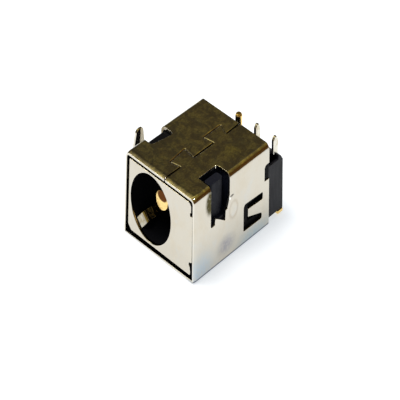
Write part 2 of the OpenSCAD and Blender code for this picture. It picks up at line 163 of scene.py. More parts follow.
def noise(tree, vector, scale, detail=2.0, roughness=0.5, distortion=0.0):
    inputs = {
        "Vector": vector, "Scale": scale, "Detail": detail,
        "Roughness": roughness, "Distortion": distortion,
    }
    return addNode(tree, "TexNoise", inputs).outputs[0]


def bumpFrom(tree, height, strength, distance, under=None):
    inputs = {"Height": height, "Strength": strength, "Distance": distance}
    if under is not None:
        inputs["Normal"] = under
    return addNode(tree, "Bump", inputs).outputs[0]


# 1 inside an upright ellipsoid, 0 outside, with a soft border; centre and reach in millimetres
def spot(tree, plain, centre, reach, soft=0.4):
    inputs = {"Vector": plain, "Location": tuple(-c / r for c, r in zip(centre, reach)),
              "Scale": tuple(1 / r for r in reach)}
    local = addNode(tree, "Mapping", inputs).outputs[0]
    distance = addNode(tree, "VectorMath", {0: local}, operation="LENGTH").outputs["Value"]
    return rise(tree, distance, 1 - soft, 1, 0.0, 1.0)


# 1 inside a box, 0 outside; its corners in millimetres
def inBox(tree, plain, low, high):
    place = addNode(tree, "SeparateXYZ", {0: plain})
    share = 1.0
    for axis, first, last in zip("XYZ", low, high):
        past = calc(tree, "GREATER_THAN", place.outputs[axis], first)
        before = calc(tree, "LESS_THAN", place.outputs[axis], last)
        share = calc(tree, "MULTIPLY", share, calc(tree, "MULTIPLY", past, before))
    return share


def startMaterial(name):
    material = bpy.data.materials.new(name)
    material.use_nodes = True
    tree = material.node_tree
    return material, tree, tree.nodes["Principled BSDF"]


sheetFinish = {
    "colour": (0.60, 0.56, 0.475),
    "warm": (0.58, 0.51, 0.39),
    "cool": (0.56, 0.58, 0.58),
    # the lighter colour painted on rounded edges as a highlight
    "wearAndSheen": (0.82, 0.78, 0.68),
    "dark": (0.02, 0.016, 0.01),
    "roughness": (0.07, 0.17),
}


# Each mark (real stains, painted shade and painted reflections alike) is (centre, reach, colour,
# strength, softness), broken up by noise. A mark with a sixth number is a ring that wide, as a share of its
# reach.
def colourWithMarksAndShade(tree, plain, colour, marksAndShade):
    broken = noise(tree, plain, 2.6, 3, 0.7)
    for centre, reach, tint, strength, soft, *ring in marksAndShade:
        share = spot(tree, plain, centre, reach, soft)
        if ring:
            inner = tuple(r * (1 - ring[0]) for r in reach)
            share = calc(tree, "SUBTRACT", share, spot(tree, plain, centre, inner), clamp=True)
        patchy = rise(tree, broken, 0.3, 0.6, strength, 0.5 * strength)
        colour = blendColour(tree, calc(tree, "MULTIPLY", share, patchy), colour, tint)
    return colour


# blotches and short dark flecks on the upper face only, which lies above z = 3.8
def tarnishedTop(tree, plain, colour):
    upper = rise(tree, addNode(tree, "SeparateXYZ", {0: plain}).outputs["Z"], 3.8, 3.97)
    blotches = rise(tree, noise(tree, plain, 0.75, 5, 0.72, 0.5), 0.42, 0.6)
    tarnish = blendColour(tree, blotches, (0.66, 0.66, 0.74), (1.25, 1.24, 0.98))
    specks = noise(tree, coordinates(tree, (1.6, 0.5, 1.6)), 4.5, 3, 0.7)
    flecks = rise(tree, specks, 0.46, 0.62, 0.5, 0.0)
    tarnish = blendColour(tree, flecks, tarnish, (0.55, 0.50, 0.55))
    return blendColour(tree, upper, colour, tarnish, "MULTIPLY")


# Nickel on rolled sheet: slow colour patches, fine rolling grain, small pits and dull patches.
# Rounded edges are painted brighter, a painted highlight. The shade places are boxes of painted shade, in
# which the seam's cut edges are painted dark.
def sheetMetal(name, s, grainStretch, marksAndShade=(), shadePlaces=()):
    material, tree, shader = startMaterial(name)
    plain = coordinates(tree)
    patches = noise(tree, plain, 0.45, 3, 0.6, 0.4)
    colour = blendColour(tree, rise(tree, patches, 0.45, 0.75, 0.5), s["colour"], s["warm"])
    coolShare = rise(tree, noise(tree, plain, 0.8, 2, 0.5), 0.55, 0.8, 0.35)
    colour = blendColour(tree, coolShare, colour, s["cool"])
    colour = colourWithMarksAndShade(tree, plain, colour, marksAndShade)
    # painted highlight: the rounded edges are painted lighter
    wearAndSheen = addNode(tree, "Attribute", attribute_name="edgeSheen").outputs["Fac"]
    colour = blendColour(tree, calc(tree, "MULTIPLY", wearAndSheen, 0.5), colour, s["wearAndSheen"])
    colour = tarnishedTop(tree, plain, colour)
    # painted shade: the seam's gap and cut edges are painted dark
    for low, high in shadePlaces:
        colour = blendColour(tree, inBox(tree, plain, low, high), colour, s["dark"])
    lines = noise(tree, coordinates(tree, grainStretch), 6, 4, 0.6)
    pits = noise(tree, plain, 22, 2, 0.5)
    waves = noise(tree, plain, 0.5, 1, 0.4)
    ripples = noise(tree, plain, 1.7, 3, 0.6)
    smooth, rough = s["roughness"]
    dull = calc(tree, "MULTIPLY_ADD", lines, 0.6, calc(tree, "MULTIPLY", patches, 0.4))
    feed(tree, shader, "Base Color", colour)
    feed(tree, shader, "Metallic", 1.0)
    feed(tree, shader, "Roughness", rise(tree, dull, 0.3, 0.7, rough, smooth))
    bump = bumpFrom(tree, waves, 0.5, 0.05 * mm)
    bump = bumpFrom(tree, ripples, 0.5, 0.02 * mm, bump)
    bump = bumpFrom(tree, lines, 0.12, 0.004 * mm, bump)
    feed(tree, shader, "Normal", bumpFrom(tree, pits, 0.10, 0.004 * mm, bump))
    return material


# gilt, with painted shade: the upper half of the pin's end is painted dark brown
def goldPlate():
    material, tree, shader = startMaterial("goldPlate")
    plain = coordinates(tree)
    wearAndSheen = rise(tree, noise(tree, plain, 2.2, 3, 0.6), 0.5, 0.75, 0.6)
    colour = blendColour(tree, wearAndSheen, (0.94, 0.68, 0.27), (0.76, 0.48, 0.15))
    paintedShadeTop = spot(tree, plain, (0.1, 1.9, 0.48), (0.86, 0.5, 0.58), 0.25)
    feed(tree, shader, "Base Color", blendColour(tree, paintedShadeTop, colour, (0.10, 0.030, 0.002)))
    feed(tree, shader, "Metallic", 1.0)
    turned = noise(tree, coordinates(tree, (1, 6, 1)), 5, 3, 0.5)
    feed(tree, shader, "Roughness", rise(tree, turned, 0.3, 0.7, 0.24, 0.12))
    feed(tree, shader, "Normal", bumpFrom(tree, turned, 0.1, 0.004 * mm))
    return material


# bright tin, with painted shade: painted dark where it lies deep in the socket
def tinnedContact():
    material, tree, shader = startMaterial("tinnedContact")
    plain = coordinates(tree)
    wearAndSheen = rise(tree, noise(tree, plain, 1.6, 3, 0.6), 0.45, 0.7, 0.8)
    colour = blendColour(tree, wearAndSheen, (0.72, 0.69, 0.60), (0.52, 0.44, 0.28))
    socketShade = inBox(tree, plain, (-4.0, 2.5, -3.4), (4.0, 12.0, 3.4))
    feed(tree, shader, "Base Color", blendColour(tree, socketShade, colour, (0.05, 0.045, 0.03)))
    feed(tree, shader, "Metallic", 1.0)
    streaks = noise(tree, coordinates(tree, (3, 1, 1)), 6, 3, 0.6)
    feed(tree, shader, "Roughness", rise(tree, streaks, 0.3, 0.7, 0.28, 0.14))
    feed(tree, shader, "Normal", bumpFrom(tree, streaks, 0.12, 0.004 * mm))
    return material


# moulded black plastic: fine grain, faint flow streaks and slightly greyer worn places. Inside the shield
# it has painted shade, darker and less glossy; the post in the right notch has a painted sheen, bluer and
# glossier.
def mouldedPlastic():
    material, tree, shader = startMaterial("mouldedPlastic")
    plain = coordinates(tree)
    place = addNode(tree, "SeparateXYZ", {0: plain})
    inner = rise(tree, place.outputs["Y"], 12.5, 12.6, 0.0, 1.0)
    post = calc(tree, "MULTIPLY", inner, rise(tree, place.outputs["X"], 4.2, 4.5))
    post = calc(tree, "MULTIPLY", post, rise(tree, place.outputs["Y"], 6.2, 6.6, 0.0, 1.0))
    grey = rise(tree, noise(tree, plain, 0.9, 4, 0.65), 0.4, 0.75)
    outside = blendColour(tree, grey, (0.006, 0.006, 0.009), (0.011, 0.010, 0.014))
    # painted shade: darker inside the shield
    colour = blendColour(tree, inner, outside, (0.004, 0.004, 0.005))
    # painted sheen: the post in the right notch is painted bluer
    feed(tree, shader, "Base Color", blendColour(tree, post, colour, (0.007, 0.008, 0.014)))
    fine = noise(tree, plain, 14, 3, 0.6)
    flow = noise(tree, coordinates(tree, (1, 1, 0.25)), 2.5, 3, 0.5)
    feed(tree, shader, "Roughness", rise(tree, flow, 0.3, 0.7, 0.52, 0.38))
    # painted shade: less gloss inside the shield; the post's extra gloss is a painted sheen
    gloss = calc(tree, "MULTIPLY_ADD", inner, -0.17, 0.21)
    feed(tree, shader, "Specular IOR Level", calc(tree, "MULTIPLY_ADD", post, 0.10, gloss))
    feed(tree, shader, "Normal", bumpFrom(tree, fine, 0.25, 0.01 * mm))
    return material


# Marks on the shield, real ones and painted light. On the right wall: a dark patch before the notch,
# a painted reflection; a scrape and its burr behind it; a faint darker oval ring below; three cloudy
# grey places low down, a painted reflection of the floor's shadow; and a dark line along the lower
# fold, a painted reflection of the contact shadow. On top: a bright speck and a yellow patch.
shieldMarksAndShade = [
    # painted reflection: a dark olive patch before the notch
    ((6.9, 2.65, 2.6), (0.8, 1.0, 1.5), (0.06, 0.05, 0.012), 1.3, 0.6),
    ((6.9, 6.18, 1.74), (0.4, 0.42, 0.13), (0.09, 0.08, 0.07), 0.95, 0.4),
    ((6.9, 5.88, 1.58), (0.4, 0.13, 0.16), (1.0, 0.99, 0.95), 1.0, 0.4),
    ((6.9, 6.5, 0.3), (0.6, 0.95, 1.1), (0.42, 0.34, 0.25), 0.6, 0.4, 0.25),
    # painted reflection of the floor's shadow: three cloudy grey and bluish places low down
    ((6.9, 5.3, -2.6), (0.9, 2.1, 1.3), (0.29, 0.29, 0.33), 0.8, 0.95),
    ((6.9, 1.0, -3.2), (0.9, 3.4, 2.4), (0.48, 0.55, 0.60), 1.0, 0.95),
    ((6.9, 10.0, -3.7), (0.9, 4.5, 1.4), (0.42, 0.49, 0.51), 1.0, 0.95),
    # painted reflection of the contact shadow: a dark line along the lower fold
    ((6.9, 6.3, -4.0), (1.5, 25.0, 0.26), (0.03, 0.045, 0.09), 1.9, 0.35),
    ((-2.87, 9.22, 4.0), (0.16, 0.12, 0.3), (0.75, 0.70, 0.50), 0.9, 0.4),
    ((4.6, 8.7, 4.0), (1.8, 2.0, 0.4), (0.75, 0.70, 0.42), 0.7, 0.95),
]
# painted shade inside the seam, and along its straight runs before, between and behind the dovetails
seamShade = [
    ((-1.5, 0.35, 3.5), (4.7, 12.3, 3.94)), ((2.1, 0.5, 3.9), (2.34, 2.5, 4.1)),
    ((2.1, 4.9, 3.9), (2.34, 7.95, 4.1)), ((2.1, 10.45, 3.9), (2.34, 12.6, 4.1)),
]
shieldMetal = sheetMetal("shieldMetal", sheetFinish, (8, 0.6, 8), shieldMarksAndShade, seamShade)
plateMetal = sheetMetal("plateMetal", sheetFinish, (1, 1, 8))
contactGold = goldPlate()
contactTin = tinnedContact()
housingPlastic = mouldedPlastic()
print("finishes made")


# A form is a dictionary of points in millimetres, their normals, faces and a share of painted edge
# highlight.
def makeForm(points, normals, faces, edge):
    points = np.asarray(points, float)
    return {"points": points, "normals": np.asarray(normals, float), "faces": faces,
            "edge": np.broadcast_to(np.asarray(edge, float), len(points)).copy()}


# One object for a node from its forms, each with its material
def addPiece(name, node, forms):
    points, normals, edge, faces, slots, start = [], [], [], [], [], 0
    materials = []
    for form, material in forms:
        if material not in materials:
            materials.append(material)
        points.append(form["points"])
        normals.append(form["normals"])
        edge.append(form["edge"])
        faces += [tuple(start + i for i in face) for face in form["faces"]]
        slots += [materials.index(material)] * len(form["faces"])
        start += len(form["points"])
    points, normals, edge = np.concatenate(points), np.concatenate(normals), np.concatenate(edge)
    normals /= np.maximum(np.linalg.norm(normals, axis=1), 1e-9)[:, None]
    turned = []
    for face in faces:
        a, b, c = (points[i] for i in face[:3])
        if len(face) == 4:
            across = np.cross(points[face[2]] - a, points[face[3]] - b)
        else:
            across = np.cross(b - a, c - a)
        meant = sum(normals[i] for i in face)
        turned.append(face[::-1] if float(across @ meant) < 0 else face)
    mesh = bpy.data.meshes.new(name)
    mesh.from_pydata((points * mm).tolist(), [], turned)
    for material in materials:
        mesh.materials.append(material)
    mesh.polygons.foreach_set("material_index", slots)
    mesh.polygons.foreach_set("use_smooth", [True] * len(turned))
    edgeSheenShare = mesh.attributes.new("edgeSheen", "FLOAT", "POINT")
    edgeSheenShare.data.foreach_set("value", edge)
    mesh.update()
    mesh.normals_split_custom_set_from_vertices(normals.tolist())
    piece = bpy.data.objects.new(name, mesh)
    bpy.context.scene.collection.objects.link(piece)
    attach(piece, "root")
    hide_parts(node)


# A closed outline from corners (a, b, radius), with its outward normals, walked with the
# material on its left. A corner's arc starts radius * tan(turn / 2) before it.
def softLoop(corners, hole=False, least=0.07):
    flat = np.array([c[:2] for c in corners], float)
    area = np.sum(flat[:, 0] * np.roll(flat[:, 1], -1) - flat[:, 1] * np.roll(flat[:, 0], -1))
    if (area < 0) != hole:
        corners = corners[::-1]
        flat = flat[::-1]
    count = len(corners)
    points, normals = [], []
    for i in range(count):
        here, before, after = flat[i], flat[i - 1], flat[(i + 1) % count]
        inward, onward = here - before, after - here
        inLength, outLength = np.linalg.norm(inward), np.linalg.norm(onward)
        inward, onward = inward / inLength, onward / outLength
        turn = math.atan2(inward[0] * onward[1] - inward[1] * onward[0], inward @ onward)
        radius = max(corners[i][2] if len(corners[i]) > 2 else 0, least)
        if abs(turn) < 0.02:
            points.append(here)
            normals.append((inward[1], -inward[0]))
            continue
        back = min(radius * math.tan(abs(turn) / 2), 0.48 * inLength, 0.48 * outLength)
        radius = back / math.tan(abs(turn) / 2)
        first = here - inward * back
        side = 1 if turn > 0 else -1
        centre = first + side * radius * np.array((-inward[1], inward[0]))
        steps = max(2, int(math.ceil(abs(turn) / 0.27)))
        for k in range(steps + 1):
            angle = turn * k / steps
            way = np.array((
                inward[0] * math.cos(angle) - inward[1] * math.sin(angle),
                inward[0] * math.sin(angle) + inward[1] * math.cos(angle),
            ))
            out = np.array((way[1], -way[0]))
            points.append(centre + side * radius * out)
            normals.append(out)
    return np.array(points), np.array(normals)


# a round hole's outline
def roundLoop(a, b, radius, count=96):
    angles = -np.linspace(0, 2 * math.pi, count, endpoint=False)
    ring = np.stack([np.cos(angles), np.sin(angles)], 1)
    return np.array((a, b)) + radius * ring, -ring


# adds points where an outline crosses the lines on which one coordinate has a given value
def splitLoop(loop, values, axis=0):
    points, normals = loop
    for value in values:
        gap = points[:, axis] - value
        nextGap = np.roll(gap, -1)
        cross = np.nonzero((gap * nextGap < 0) & (np.minimum(abs(gap), abs(nextGap)) > 1e-4))[0]
        for i in cross[::-1]:
            share = gap[i] / (gap[i] - nextGap[i])
            j = (i + 1) % len(points)
            spotNow = points[i] + share * (points[j] - points[i])
            normalNow = normals[i] + share * (normals[j] - normals[i])
            points = np.insert(points, i + 1, spotNow, axis=0)
            normals = np.insert(normals, i + 1, normalNow, axis=0)
            points[i + 1, axis] = value
    return points, normals / np.linalg.norm(normals, axis=1)[:, None]


# even-odd test of points against all loops
def insideLoops(points, loops):
    inside = np.zeros(len(points), bool)
    for loop in loops:
        ends = np.roll(loop, -1, axis=0)
        for (a, b), (c, d) in zip(loop, ends):
            if b == d:
                continue
            between = (b > points[:, 1]) != (d > points[:, 1])
            inside ^= between & (points[:, 0] < a + (points[:, 1] - b) / (d - b) * (c - a))
    return inside


# the faces that fill the loops, with the lines kept as edges
def fillLoops(loops, lines):
    spots, links = [], []
    for loop in loops:
        start = len(spots)
        spots += [Vector(p) for p in loop]
        links += [(start + i, start + (i + 1) % len(loop)) for i in range(len(loop))]
    for first, second in lines:
        links.append((len(spots), len(spots) + 1))
        spots += [Vector(first), Vector(second)]
    made, _, faces, _, _, _ = delaunay_2d_cdt(spots, links, [], 0, 1e-6)
    flat = np.array([tuple(p) for p in made])
    middles = np.array([flat[list(face)].mean(axis=0) for face in faces])
    kept = [face for face, inside in zip(faces, insideLoops(middles, loops)) if inside]
    used = sorted({i for face in kept for i in face})
    number = {old: new for new, old in enumerate(used)}
    return flat[used], [tuple(number[i] for i in face) for face in kept]


# unit vectors of a surface: along its first and second coordinate, and out of it
def surfaceFrame(place, a, b):
    step = 1e-3
    along = place(a + step, b, 0 * a) - place(a - step, b, 0 * a)
    across = place(a, b + step, 0 * a) - place(a, b - step, 0 * a)
    out = place(a, b, 0 * a + step) - place(a, b, 0 * a - step)
    unit = [v / np.linalg.norm(v, axis=1)[:, None] for v in (along, across)]
    normal = np.cross(unit[0], unit[1])
    normal /= np.linalg.norm(normal, axis=1)[:, None]
    normal *= np.sign(np.sum(normal * out, axis=1))[:, None]
    return unit[0], unit[1], normal


# A plate of constant thickness on a surface, with rounded edges. Where the edge has turned by t:
# it lies edge * (1 - cos t) inside the outline and edge * (1 - sin t) below the face.
# The edge is one size, or a function of the place on the unrolled sheet. Fold lines, cross
# lines and extra lines are kept as edges on the faces, so that the sheet bends along them.
def plateForm(loops, place, thick, edge, burr, foldLines=(), crossLines=(), extraLines=()):
    loops = [splitLoop(splitLoop(loop, foldLines), crossLines, 1) for loop in loops]
    edgeAt = edge if callable(edge) else lambda a, b: np.full(len(a), edge)
    reach = 100  # past every outline
    lines = [((value, -reach), (value, reach)) for value in foldLines] + list(extraLines)
    lines += [((-reach, value), (reach, value)) for value in crossLines]
    quarter = [math.radians(a) for a in (90, 67, 45, 22, 0)]
    rings = [(1 - math.cos(t), 0, math.sin(t) - 1, math.cos(t), math.sin(t)) for t in quarter]
    rings += [
        (0, burr * (1 - math.cos(t)), -thick + burr * (1 - math.sin(t)), math.cos(t), -math.sin(t))
        for t in (0, math.radians(45), math.radians(90))
    ]
    points, normals, faces, edgeSheenShare = [], [], [], []
    start = 0
    for flat, out in loops:
        count = len(flat)
        own = edgeAt(flat[:, 0], flat[:, 1])
        for k, (share, inset, drop, sideways, upright) in enumerate(rings):
            spotsNow = flat - (inset + share * own)[:, None] * out
            height = drop * own if k < len(quarter) else drop
            a, b = spotsNow[:, 0], spotsNow[:, 1]
            along, across, normal = surfaceFrame(place, a, b)
            edgeOut = along * out[:, :1] + across * out[:, 1:]
            points.append(place(a, b, 0 * a + height))
            normals.append(edgeOut * sideways + normal * upright)
            edgeSheenShare.append(np.full(count, 1.0 if 0 < k < 5 else 0.4))
            if k:
                low, high = start + (k - 1) * count, start + k * count
                faces += [
                    (low + i, low + (i + 1) % count, high + (i + 1) % count, high + i) for i in range(count)
                ]
        start += count * len(rings)
    for fixed, height, side in ((None, 0.0, 1), (burr, -thick, -1)):
        borders = []
        for loop, out in loops:
            inset = edgeAt(loop[:, 0], loop[:, 1]) if fixed is None else np.full(len(loop), fixed)
            borders.append(loop - inset[:, None] * out)
        flat, filled = fillLoops(borders, lines)
        a, b = flat[:, 0], flat[:, 1]
        points.append(place(a, b, 0 * a + height))
        normals.append(surfaceFrame(place, a, b)[2] * side)
        edgeSheenShare.append(np.zeros(len(flat)))
        faces += [tuple(start + i for i in face) for face in filled]
        start += len(flat)
    return makeForm(np.concatenate(points), np.concatenate(normals), faces, np.concatenate(edgeSheenShare))


# A bent line in a plane from runs and turns to the right; its face lies on its left.
# Returns a function for the place at a distance along it and a height over the face, the
# distances that its folds need lines at, and its whole length. A fold's inner side stays a
# little outside the fold's centre.
def bentLine(start, heading, parts):
    pieces = []
    here = np.array(start, float)
    way = np.array(heading, float)
    passed = 0.0
    for kind, size, radius in parts:
        out = np.array((-way[1], way[0]))
        length = size if kind == "run" else math.radians(size) * radius
        pieces.append((kind, passed, passed + length, here.copy(), way.copy(), out, radius))
        if kind == "run":
            here = here + way * size
        else:
            angle = math.radians(size)
            centre = here - out * radius
            turnedOut = out * math.cos(angle) + way * math.sin(angle)
            way = way * math.cos(angle) - out * math.sin(angle)
            here = centre + turnedOut * radius
        passed += length

    def place(distance, height):
        result = np.zeros((len(distance), 2))
        for i, (kind, low, high, at, toward, out, radius) in enumerate(pieces):
            mask = (distance >= low) & (distance < high)
            if i == 0:
                mask |= distance < low
            if i == len(pieces) - 1:
                mask |= distance >= high
            s, h = (distance[mask] - low)[:, None], height[mask][:, None]
            if kind == "run":
                result[mask] = at + toward * s + out * h
            else:
                normal = out * np.cos(s / radius) + toward * np.sin(s / radius)
                result[mask] = at - out * radius + normal * np.maximum(radius + h, 0.02)
        return result

    folds = [
        low + (high - low) * k / 9 for kind, low, high, *_ in pieces if kind == "turn" for k in range(10)
    ]
    return place, folds, passed


# a flat plate or bar: corners in two directions, its thickness in the third
def barForm(corners, origin, first, second, thick, edge, holes=()):
    origin, first, second = (np.array(v, float) for v in (origin, first, second))
    out = np.cross(first, second)

    def place(a, b, h):
        return origin + a[:, None] * first + b[:, None] * second + h[:, None] * out

    loops = [softLoop(corners, least=edge)] + list(holes)
    return plateForm(loops, place, thick, edge, edge)


# A turned piece: its profile (distance from the axis, place along it) with soft corners
def turnedForm(profile, origin, axis, soft=0.03, count=64):
    origin, axis = np.array(origin, float), np.array(axis, float)
    side = np.array((1.0, 0, 0)) if abs(axis[0]) < 0.5 else np.array((0, 1.0, 0))
    other = np.cross(axis, side)
    rows = []
    for i, (radius, along, *own) in enumerate(profile):
        here = np.array((radius, along), float)
        if 0 < i < len(profile) - 1:
            before, after = (np.array(profile[j][:2], float) for j in (i - 1, i + 1))
            inward, onward = here - before, after - here
            inLength, outLength = np.linalg.norm(inward), np.linalg.norm(onward)
            inward, onward = inward / inLength, onward / outLength
            back = min(own[0] if own else soft, 0.45 * inLength, 0.45 * outLength)
            for share in (0, 0.25, 0.5, 0.75, 1):
                p = (1 - share) ** 2 * (here - inward * back) + 2 * share * (1 - share) * here
                p = p + share ** 2 * (here + onward * back)
                way = inward * (1 - share) + onward * share
                rows.append((p, way, 1.0 if 0 < share < 1 else 0.0))
        else:
            j = 1 if i == 0 else len(profile) - 2
            way = (np.array(profile[j][:2], float) - here) * (1 if i == 0 else -1)
            rows.append((here, way, 0.0))
    rows = [row for row in rows if row[0][0] > 0]
    angles = np.linspace(0, 2 * math.pi, count, endpoint=False)
    spokes = np.cos(angles)[:, None] * side + np.sin(angles)[:, None] * other
    points, normals, edgeSheenShare, faces = [], [], [], []
    for k, (p, way, wearAndSheen) in enumerate(rows):
        points.append(origin + spokes * p[0] + axis * p[1])
        normals.append(spokes * way[1] - axis * way[0])
        edgeSheenShare.append(np.full(count, wearAndSheen))
        if k:
            low, high = (k - 1) * count, k * count
            faces += [
                (low + i, low + (i + 1) % count, high + (i + 1) % count, high + i) for i in range(count)
            ]
    for row in (0, len(rows) - 1):
        faces.append(tuple(row * count + i for i in range(count)))
    return makeForm(np.concatenate(points), np.concatenate(normals), faces, np.concatenate(edgeSheenShare))


# The shield is one folded sheet. Along its unrolled length, distance runs from the seam to the
# right over the top, down the right wall, back under the floor and up the left wall.
right, left, top, floorZ = sheet["right"], sheet["left"], sheet["top"], sheet["floor"]
rear, foldR, foldLow, thick = sheet["rear"], sheet["fold"], sheet["foldLow"], sheet["thick"]
seamX = right - 4.7
arc, arcLow = foldR * math.pi / 2, foldLow * math.pi / 2
wallRun = top - floorZ - foldR - foldLow
floorRun = right - left - 2 * foldLow
shieldParts = [
    ("run", right - foldR - seamX, 0), ("turn", 90, foldR), ("run", wallRun, 0), ("turn", 90, foldLow),
    ("run", floorRun, 0), ("turn", 90, foldLow), ("run", wallRun, 0), ("turn", 90, foldR),
    ("run", seamX - left - foldR, 0),
]
shieldLine, shieldFolds, shieldRound = bentLine((seamX, top), (1, 0), shieldParts)
rightWallTop = right - foldR - seamX + arc
leftWallFloor = rightWallTop + wallRun + arcLow + floorRun + arcLow


def onTop(x):
    return x - seamX


def onRight(z):
    return rightWallTop + top - foldR - z


def onLeft(z):
    return leftWallFloor + z - floorZ - foldLow


def onTopLeft(x):
    return shieldRound + x - seamX


# the pressed-in tongue on both side walls, and the slot round it as (y, z, radius)
lance = {"tipY": 9.44, "rootY": 11.42, "middle": -1.6, "push": 0.4}
lanceSlot = [
    (8.25, -0.15, 0.35), (11.53, -0.28, 0.22), (11.53, -0.94, 0.22), (9.44, -1.22, 0.07),
    (9.44, -2.00, 0.07), (11.38, -2.24, 0.18), (11.38, -2.76, 0.22), (8.25, -2.72, 0.1),
]
rim = {"reach": 0.65, "drop": 0.11}  # the outer face rolls in a little towards the front edge


def shieldPlace(a, b, h):
    rightZ = top - foldR + rightWallTop - a
    leftZ = a - leftWallFloor + floorZ + foldLow
    z = np.where(a < leftWallFloor - arcLow, rightZ, leftZ)
    ramp = np.clip((lance["rootY"] - b) / (lance["rootY"] - lance["tipY"]), 0, 1.1)
    halfNow = 0.47 + 0.26 * (1 - ramp)
    inTongue = (np.abs(z - lance["middle"]) < halfNow) & (b > lance["tipY"] - 0.1) & (b < lance["rootY"])
    onRightWall = (a > rightWallTop) & (a < rightWallTop + wallRun)
    onLeftWall = (a > leftWallFloor) & (a < leftWallFloor + wallRun)
    push = np.where(inTongue & (onRightWall | onLeftWall), lance["push"] * ramp, 0)
    nearRim = np.clip(1 - b / rim["reach"], 0, 1)
    flat = shieldLine(a, h - push - rim["drop"] * nearRim**2 * (1 + h / thick))
    return np.stack([flat[:, 0], b, flat[:, 1]], 1)


# the two dovetails by their corners (x, y); None is the seam's own line, and half the seam's gap
dovetails = [
    [(None, 2.66), (0.85, 2.31), (0.58, 4.98), (None, 4.74)],
    [(None, 8.14), (0.80, 7.86), (0.80, 10.80), (None, 10.24)],
]
seamGap = 0.06
hookFront, hookTop, hookLow = rear - 0.8, 2.15, 0.6
rightSeam = [(seamGap, 0, 0.07)]
leftSeam = [(shieldRound - seamGap, 0, 0.07)]
for tab in dovetails:
    for i, (x, y) in enumerate(tab):
        nearEnd = -1 if i < 2 else 1
        if x is None:
            rightSeam.append((seamGap, y, 0.09))
            leftSeam.append((shieldRound - seamGap, y + nearEnd * 0.05, 0.09))
        else:
            rightSeam.append((onTop(x), y, 0.1))
            leftSeam.append((onTopLeft(x) - 0.07, y + nearEnd * 0.07, 0.12))
rightSeam.append((seamGap, rear, 0.07))
leftSeam.append((shieldRound - seamGap, rear, 0.07))
rearEdge = [
    (onRight(hookTop), rear, 0.08), (onRight(hookTop), hookFront, 0.4),
    (onRight(hookLow), hookFront, 0.07), (onRight(hookLow), rear, 0.08),
    (onLeft(hookLow), rear, 0.08), (onLeft(hookLow), hookFront, 0.07),
    (onLeft(hookTop), hookFront, 0.4), (onLeft(hookTop), rear, 0.08),
]
shieldOutline = rightSeam + rearEdge + leftSeam[::-1]
# the right notch ends below in a slanted stub, where the leg is missing
notchFront, notchRear = 2.75, 5.85
rightNotch = [
    (onTop(4.80), notchFront, 0.15), (onRight(0.2), notchFront, 0.1), (onRight(0.08), 2.93, 0.1),
    (onRight(0.14), 3.44, 0.07), (onRight(0.70), 3.50, 0.07), (onRight(0.33), 4.2, 0.2),
    (onRight(-0.22), 5.15, 0.1), (onRight(0.77), 5.22, 0.08), (onRight(0.80), 5.47, 0.08),
    (onRight(1.55), 5.77, 0.1), (onRight(1.80), 5.74, 0.07), (onRight(2.0), notchRear, 0.07),
    (onTop(4.80), notchRear, 0.4),
]
leftNotch = [
    (onTopLeft(-2.6), notchFront, 0.3), (onLeft(0.1), notchFront, 0.1), (onLeft(0.1), 3.45, 0.1),
    (onLeft(0.55), 3.45, 0.07), (onLeft(0.55), 5.15, 0.07), (onLeft(0.1), 5.15, 0.1),
    (onLeft(0.1), notchRear, 0.1), (onTopLeft(-2.0), notchRear, 0.45),
]
shieldLoops = [softLoop(shieldOutline), softLoop(rightNotch, True), softLoop(leftNotch, True)]
for along in (onRight, onLeft):
    shieldLoops.append(softLoop([(along(z), y, r) for y, z, r in lanceSlot], True))
tongueEnds = (lance["middle"] + 0.9, lance["middle"] - 0.9)
tongueLines = [tuple((along(z), lance["rootY"]) for z in tongueEnds) for along in (onRight, onLeft)]


# the pressed edges round the dovetails are softer than the others, and so is the mouth's edge
def shieldEdge(a, b):
    fromSeam = np.minimum(np.abs(a), np.abs(a - shieldRound))
    atTab = np.zeros(len(a))
    for tab in dovetails:
        low, high = tab[1][1] - 0.2, tab[2][1] + 0.2
        atTab = np.maximum(atTab, (b > low) & (b < high) & (fromSeam < 2.2))
    return 0.035 + 0.09 * atTab + 0.03 * (b < 0.1)


rimLines = [rim["reach"] * k / 6 for k in range(1, 7)]
shieldSheet = plateForm(
    shieldLoops, shieldPlace, thick, shieldEdge, 0.02, shieldFolds, rimLines, tongueLines
)

# the left leg: out of the wall at its root, up through a fold and on to a rounded tip
leg = {"out": 1.92, "rootZ": 0.55, "middle": 4.05, "half": 0.84, "tipHalf": 0.52, "taper": 1.6,
       "tipZ": 3.64, "turn": 0.48, "crown": 0.09}
legRun = leg["out"] + 0.2 - leg["turn"]
legRise = leg["tipZ"] - (leg["rootZ"] - thick) - leg["turn"]
legParts = [("run", legRun, 0), ("turn", 90, leg["turn"]), ("run", legRise, 0)]
legLine, legFolds, legLength = bentLine((left + 0.2, leg["rootZ"] - thick), (-1, 0), legParts)


def legPlace(a, b, h):
    upright = np.clip((a - legRun) / 1.5, 0, 1)
    flat = legLine(a, h + leg["crown"] * upright * (b / leg["half"]) ** 2)
    return np.stack([flat[:, 0], leg["middle"] + b, flat[:, 1]], 1)


legWaist = legLength - leg["taper"]
legOutline = [
    (0, -leg["half"], 0.07), (legWaist, -leg["half"], 0.8), (legLength, -leg["tipHalf"], 0.5),
    (legLength, leg["tipHalf"], 0.5), (legWaist, leg["half"], 0.8), (0, leg["half"], 0.07),
]
legLines = [((0, b), (legLength, b)) for b in np.linspace(-0.4, 0.4, 5)]
legSheet = plateForm([softLoop(legOutline)], legPlace, thick, 0.07, 0.05, legFolds, (), legLines)
addPiece("shieldSheet", "shield", [(shieldSheet, shieldMetal), (legSheet, shieldMetal)])
print("shield folded")

